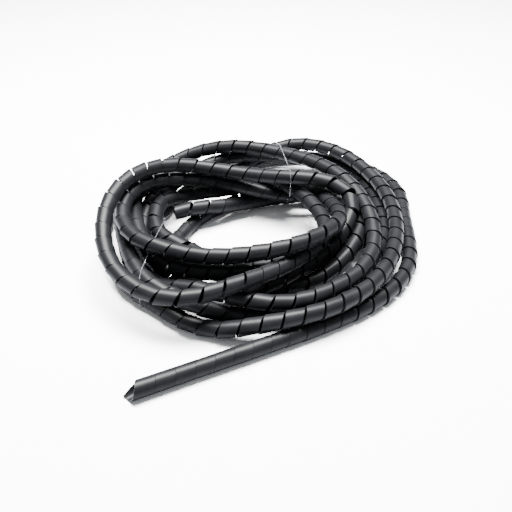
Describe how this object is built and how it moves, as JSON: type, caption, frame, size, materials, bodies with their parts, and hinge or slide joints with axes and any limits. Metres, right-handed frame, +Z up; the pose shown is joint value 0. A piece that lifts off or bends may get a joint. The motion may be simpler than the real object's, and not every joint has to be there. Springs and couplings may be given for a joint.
{
  "type": "spiral cable wrap hank",
  "caption": "Loosely coiled hank of black helical plastic cable wrap with one straight free end, held by two thin clear thread ties.",
  "frame": {"origin": "on the floor, under the middle of the hank's outline seen from above, its straight free end included", "axes": "+Z up from the floor; the straight free end lies parallel to X in front of the coil, at -Y, and its cut end faces -X"},
  "size_m": [0.2488, 0.2068, 0.05],
  "materials": {
    "black_polyethylene": "satin extruded polyethylene",
    "clear_nylon": "clear nylon thread"
  },
  "bodies": {
    "root": {"spiral_wrap": "black_polyethylene", "tie_rear": "clear_nylon", "tie_front": "clear_nylon"}
  },
  "joints": []
}
